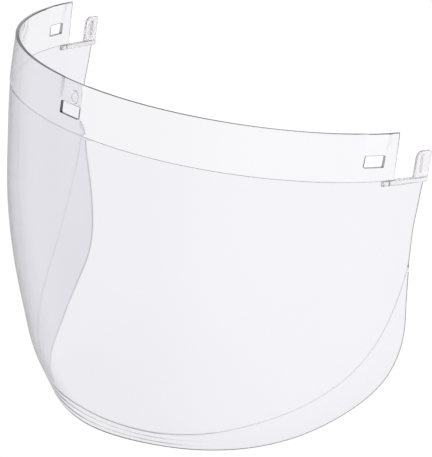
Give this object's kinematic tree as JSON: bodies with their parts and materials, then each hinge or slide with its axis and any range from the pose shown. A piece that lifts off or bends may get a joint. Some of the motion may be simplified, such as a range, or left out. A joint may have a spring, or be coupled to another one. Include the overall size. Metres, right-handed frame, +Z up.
{
  "type": "face shield",
  "caption": "Clear wrap-around face shield visor with a slotted brow band, an inward-turned chin lip, and a flexing snap tab on each rear wing.",
  "frame": {"origin": "middle of the brow band's flat top edge, at the front, on the plane of symmetry", "axes": "+Z up, -Y is the front, +X is the wearer's left"},
  "size_m": [0.2588, 0.1683, 0.2122],
  "materials": {
    "clear_polycarbonate": "polished, clear"
  },
  "bodies": {
    "shield": {"brow_band": "clear_polycarbonate", "window": "clear_polycarbonate", "chin_lip": "clear_polycarbonate", "left_side_rail": "clear_polycarbonate", "left_rail_boss": "clear_polycarbonate", "right_side_rail": "clear_polycarbonate", "right_rail_boss": "clear_polycarbonate"},
    "left_tab": {"left_latch_tab": "clear_polycarbonate", "left_tab_rib": "clear_polycarbonate"},
    "right_tab": {"right_latch_tab": "clear_polycarbonate", "right_tab_rib": "clear_polycarbonate"}
  },
  "joints": [
    {"name": "left_tab_flex", "type": "hinge", "parent": "shield", "child": "left_tab", "pos_m": [0.12759, 0.14368, -0.02695], "axis": [-0.1219, -0.9925, 0], "range_deg": [-4, 10], "stiffness_Nm_per_rad": 0.5},
    {"name": "right_tab_flex", "type": "hinge", "parent": "shield", "child": "right_tab", "pos_m": [-0.12759, 0.14368, -0.02695], "axis": [-0.1219, 0.9925, 0], "range_deg": [-4, 10], "stiffness_Nm_per_rad": 0.5}
  ]
}
